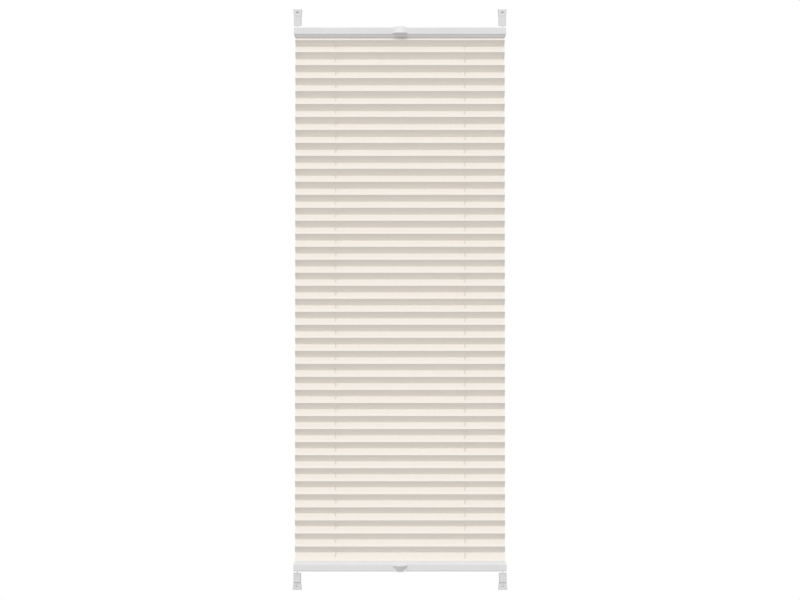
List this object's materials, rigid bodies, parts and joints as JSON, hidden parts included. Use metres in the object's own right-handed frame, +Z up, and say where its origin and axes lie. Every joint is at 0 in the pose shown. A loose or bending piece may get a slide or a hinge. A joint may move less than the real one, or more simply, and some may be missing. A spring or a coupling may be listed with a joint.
{
  "type": "pleated blind",
  "caption": "Tensioned pleated window blind with cream folded cloth between sliding white rails, on cords held by screwed corner shoes.",
  "frame": {"origin": "centre of the four screw holes, in the plane of the shoes' backs", "axes": "+X to the right seen from the front, -Y out of the front, +Z up"},
  "size_m": [0.4086, 0.0346, 1.1082],
  "materials": {
    "cloth": "matt woven polyester, cream",
    "cord": "braided cord, off-white",
    "rail_coat": "satin white powder coat",
    "cap_plastic": "satin white moulding",
    "handle_plastic": "satin white moulding",
    "shoe_plastic": "satin white moulding",
    "guide_plastic": "smooth natural moulding",
    "strip_plastic": "plain white strip"
  },
  "bodies": {
    "root": {"bottom_shoe_base_left": "shoe_plastic", "bottom_shoe_base_right": "shoe_plastic", "bottom_shoe_cover_left": "shoe_plastic", "bottom_shoe_cover_right": "shoe_plastic", "cord_left": "cord", "cord_right": "cord", "pleated_cloth": "cloth", "top_shoe_base_left": "shoe_plastic", "top_shoe_base_right": "shoe_plastic", "top_shoe_cover_left": "shoe_plastic", "top_shoe_cover_right": "shoe_plastic"},
    "upper_rail": {"top_cloth_strip": "strip_plastic", "top_cord_guide_left": "guide_plastic", "top_cord_guide_right": "guide_plastic", "top_end_cap_left": "cap_plastic", "top_end_cap_right": "cap_plastic", "top_handle": "handle_plastic", "top_rail": "rail_coat"},
    "lower_rail": {"bottom_cloth_strip": "strip_plastic", "bottom_cord_guide_left": "guide_plastic", "bottom_cord_guide_right": "guide_plastic", "bottom_end_cap_left": "cap_plastic", "bottom_end_cap_right": "cap_plastic", "bottom_handle": "handle_plastic", "bottom_rail": "rail_coat"}
  },
  "joints": [
    {"name": "top_rail_slide", "type": "slide", "parent": "root", "child": "upper_rail", "axis": [0, 0, 1], "range_m": [-0.474, 0], "deforming": ["pleated_cloth", "cord_left", "cord_right"]},
    {"name": "bottom_rail_slide", "type": "slide", "parent": "root", "child": "lower_rail", "axis": [0, 0, 1], "range_m": [0, 0.474], "deforming": ["pleated_cloth", "cord_left", "cord_right"]}
  ]
}
